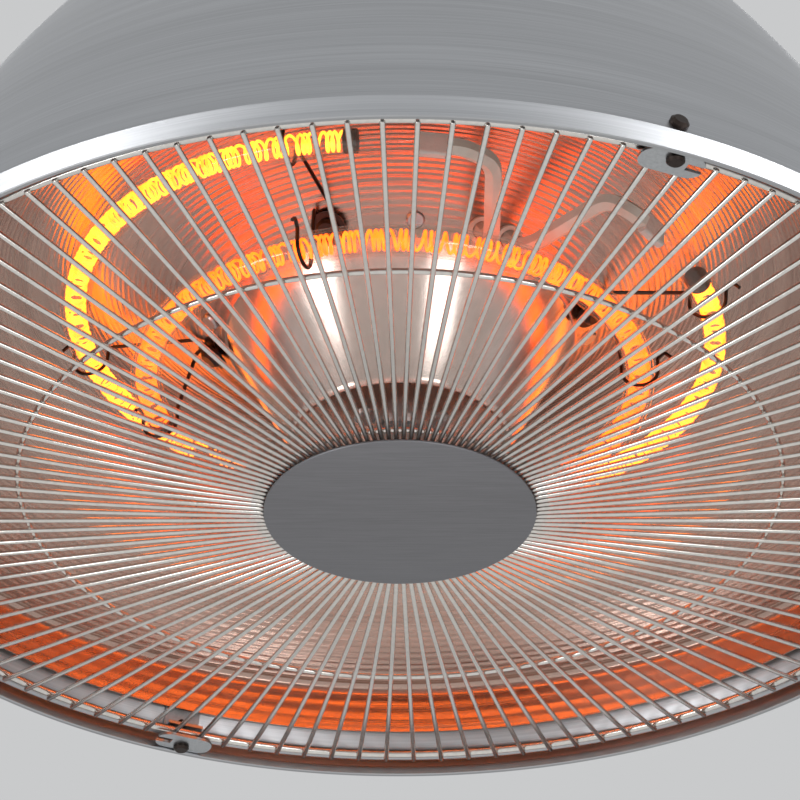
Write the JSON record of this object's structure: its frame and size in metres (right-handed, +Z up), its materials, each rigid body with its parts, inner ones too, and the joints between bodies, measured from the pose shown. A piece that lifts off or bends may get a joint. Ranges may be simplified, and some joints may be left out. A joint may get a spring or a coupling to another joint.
{
  "type": "electric patio heater",
  "caption": "Hanging electric patio heater: a spun metal shade with ring heat lamps over a reflector, a wire guard below and a vented cap with an eye, link and snap hook above.",
  "frame": {"origin": "where the inner top of the snap hook bears on what it hangs from", "axes": "+Z up along the hanging axis, -Y the front, +X the side of the snap hook gate"},
  "size_m": [0.4249, 0.425, 0.3682],
  "materials": {
    "spun_aluminium": "spun, satin",
    "polished_aluminium": "bright, finely grooved",
    "steel_wire": "bright plated wire",
    "plated_steel": "zinc plated",
    "dark_steel": "blackened",
    "quartz_glass": "clear",
    "heating_wire": "glowing",
    "dark_ceramic": "matt",
    "white_ceramic": "matt",
    "silicone_sleeve": "matt",
    "brass_screw": "satin",
    "black_plastic": "moulded",
    "black_rubber": "matt"
  },
  "bodies": {
    "hook": {"snap_hook": "plated_steel", "gate_pin": "plated_steel"},
    "gate": {"snap_gate": "plated_steel"},
    "link": {"hanging_link": "plated_steel"},
    "heater": {"cable_gland": "black_plastic", "centre_rod": "plated_steel", "clip_nuts": "plated_steel", "clip_screws": "dark_steel", "clip_washers": "plated_steel", "cone_floor_plate": "plated_steel", "cone_rivets": "plated_steel", "cone_screws": "plated_steel", "crown_nuts": "plated_steel", "crown_plate": "plated_steel", "crown_screws": "plated_steel", "earth_screw": "brass_screw", "eye_nut": "plated_steel", "eye_washer": "plated_steel", "gland_nut": "black_plastic", "gland_seal": "black_rubber", "guard_brackets": "plated_steel", "guard_clip_screws": "dark_steel", "guard_clips": "plated_steel", "guard_disc": "plated_steel", "guard_hoop": "steel_wire", "guard_inner_ring": "steel_wire", "guard_mid_ring": "steel_wire", "guard_wires": "steel_wire", "heat_shield": "spun_aluminium", "inner_filament": "heating_wire", "inner_tube_ends": "quartz_glass", "inner_tube_glass": "quartz_glass", "inner_tube_supports": "dark_ceramic", "lead_grommets": "white_ceramic", "lead_sleeves": "silicone_sleeve", "lead_wires": "silicone_sleeve", "outer_filament": "heating_wire", "outer_shade": "spun_aluminium", "outer_tube_ends": "quartz_glass", "outer_tube_glass": "quartz_glass", "outer_tube_supports": "dark_ceramic", "reflector": "polished_aluminium", "reflector_cone": "polished_aluminium", "rod_nuts": "plated_steel", "rod_washers": "plated_steel", "shade_screws": "dark_steel", "shield_posts": "plated_steel", "spacer_tube": "plated_steel", "terminal_block": "white_ceramic", "terminal_screws": "brass_screw", "thermal_cutout": "dark_ceramic", "top_cap": "spun_aluminium", "tube_clips": "dark_steel"}
  },
  "joints": [
    {"name": "gate_hinge", "type": "hinge", "parent": "hook", "child": "gate", "pos_m": [0.012, 0, -0.0326], "axis": [0, -1, 0], "range_deg": [0, 30], "stiffness_Nm_per_rad": 0.05, "springref_deg": -11.46},
    {"name": "link_swing", "type": "hinge", "parent": "hook", "child": "link", "pos_m": [0, 0, -0.0535], "axis": [1, 0, 0], "range_deg": [-45, 45]},
    {"name": "heater_swing", "type": "hinge", "parent": "link", "child": "heater", "pos_m": [0, 0, -0.0867], "axis": [0, 1, 0], "range_deg": [-45, 45]}
  ]
}
